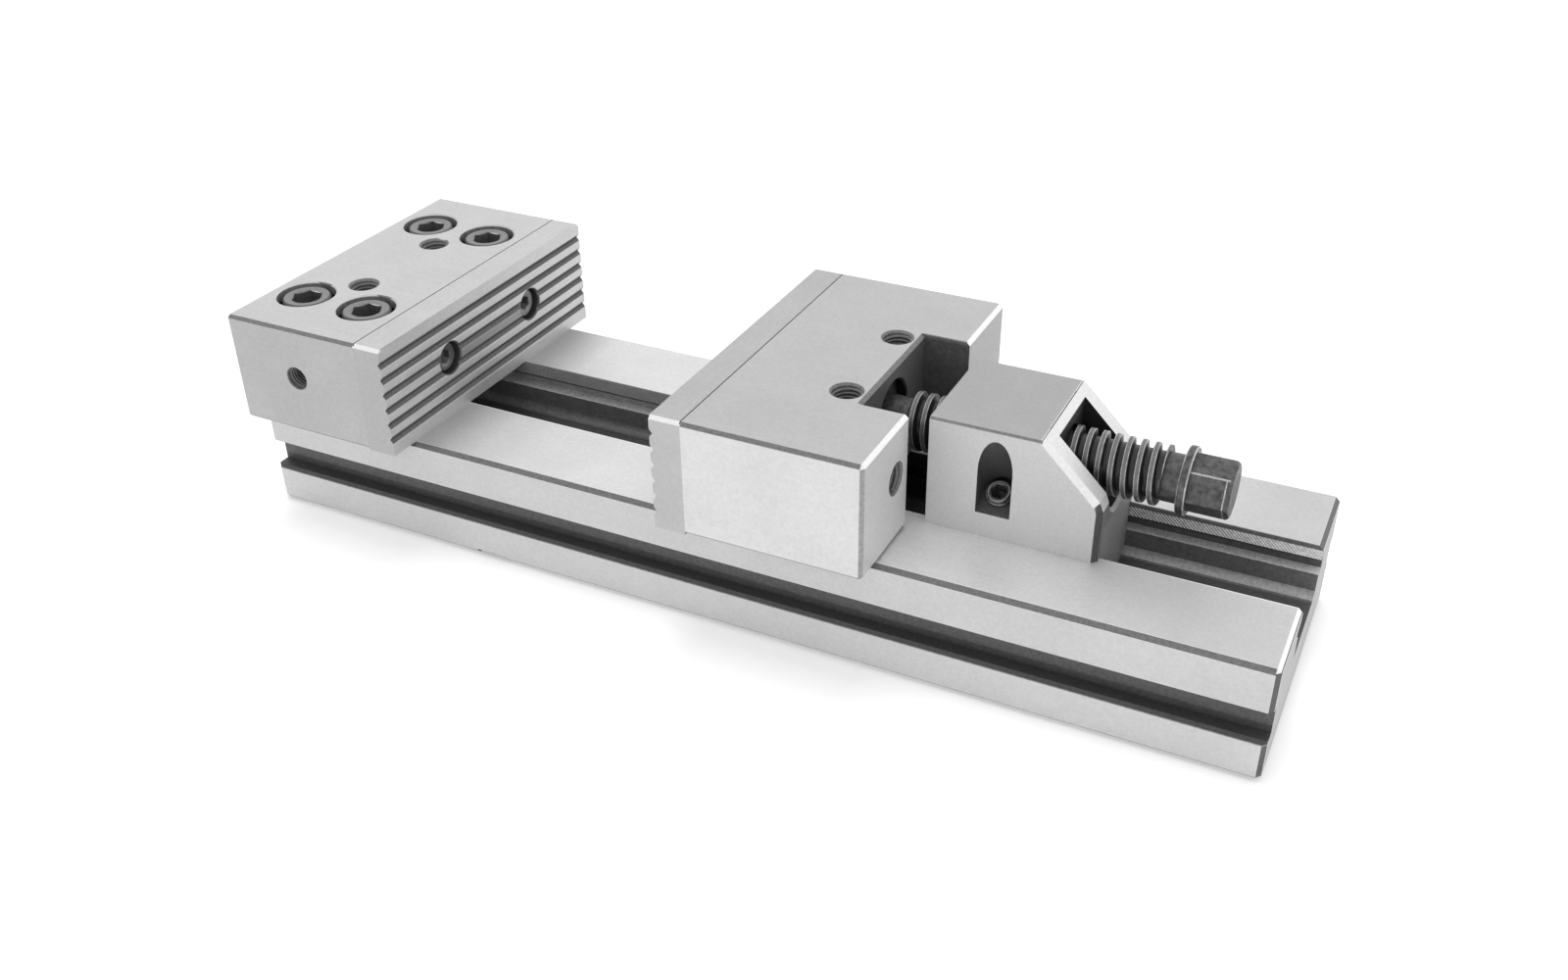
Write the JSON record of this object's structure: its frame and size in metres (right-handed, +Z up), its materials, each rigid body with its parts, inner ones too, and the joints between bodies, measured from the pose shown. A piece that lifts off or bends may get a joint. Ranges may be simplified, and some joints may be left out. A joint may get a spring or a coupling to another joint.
{
  "type": "modular machine vise",
  "caption": "Low modular machine vise: a grooved steel bed with a fixed jaw, a sliding jaw with gripping plates, and a screw block whose lead screw closes it.",
  "frame": {"origin": "centre of the bed's underside", "axes": "+X along the bed from the fixed jaw to the lead screw's hexagon, +Y across the bed, +Z up from the underside"},
  "size_m": [0.45, 0.15, 0.1],
  "materials": {
    "ground_bed_steel": "surface ground, with a blackened channel and side grooves",
    "ground_jaw_steel": "surface ground",
    "ground_block_steel": "surface ground",
    "hardened_plate_steel": "hardened and ground",
    "blackened_screw_steel": "black oxide, worn bright on its edges",
    "blackened_bar_steel": "black oxide",
    "blackened_fastener_steel": "black oxide",
    "hardened_pin_steel": "ground"
  },
  "bodies": {
    "base": {"base_rail": "ground_bed_steel", "fixed_jaw": "ground_jaw_steel", "fixed_jaw_plate": "hardened_plate_steel", "fixed_plate_screw_1": "blackened_fastener_steel", "fixed_plate_screw_2": "blackened_fastener_steel", "fixed_jaw_screw_1": "blackened_fastener_steel", "fixed_jaw_screw_2": "blackened_fastener_steel", "fixed_jaw_screw_3": "blackened_fastener_steel", "fixed_jaw_screw_4": "blackened_fastener_steel", "fixed_jaw_dowel_1": "hardened_pin_steel", "fixed_jaw_dowel_2": "hardened_pin_steel"},
    "screw_block": {"screw_block": "ground_block_steel", "anchor_pin": "hardened_pin_steel", "anchor_set_screw_near": "blackened_fastener_steel", "anchor_set_screw_far": "blackened_fastener_steel"},
    "movable_jaw": {"movable_jaw": "ground_jaw_steel", "movable_jaw_plate": "hardened_plate_steel", "movable_plate_screw_1": "blackened_fastener_steel", "movable_plate_screw_2": "blackened_fastener_steel", "hold_down_bar": "blackened_bar_steel", "hold_down_screw_1": "blackened_fastener_steel", "hold_down_screw_2": "blackened_fastener_steel", "thrust_pad": "hardened_pin_steel", "screw_retaining_pin_near": "hardened_pin_steel", "screw_retaining_pin_far": "hardened_pin_steel"},
    "lead_screw": {"lead_screw": "blackened_screw_steel"}
  },
  "joints": [
    {"name": "block_slide", "type": "slide", "parent": "base", "child": "screw_block", "axis": [1, 0, 0], "range_m": [-0.083, 0.072]},
    {"name": "jaw_travel", "type": "slide", "parent": "screw_block", "child": "movable_jaw", "axis": [1, 0, 0], "range_m": [-0.044, 0.0055]},
    {"name": "screw_turn", "type": "hinge", "parent": "movable_jaw", "child": "lead_screw", "pos_m": [0.09052, 0, 0.0785], "axis": [1, 0, 0], "range_deg": [-3200, 420]}
  ],
  "couplings": [
    {"joint": "screw_turn", "follows": "jaw_travel", "rad_per_m": 1256.6}
  ]
}
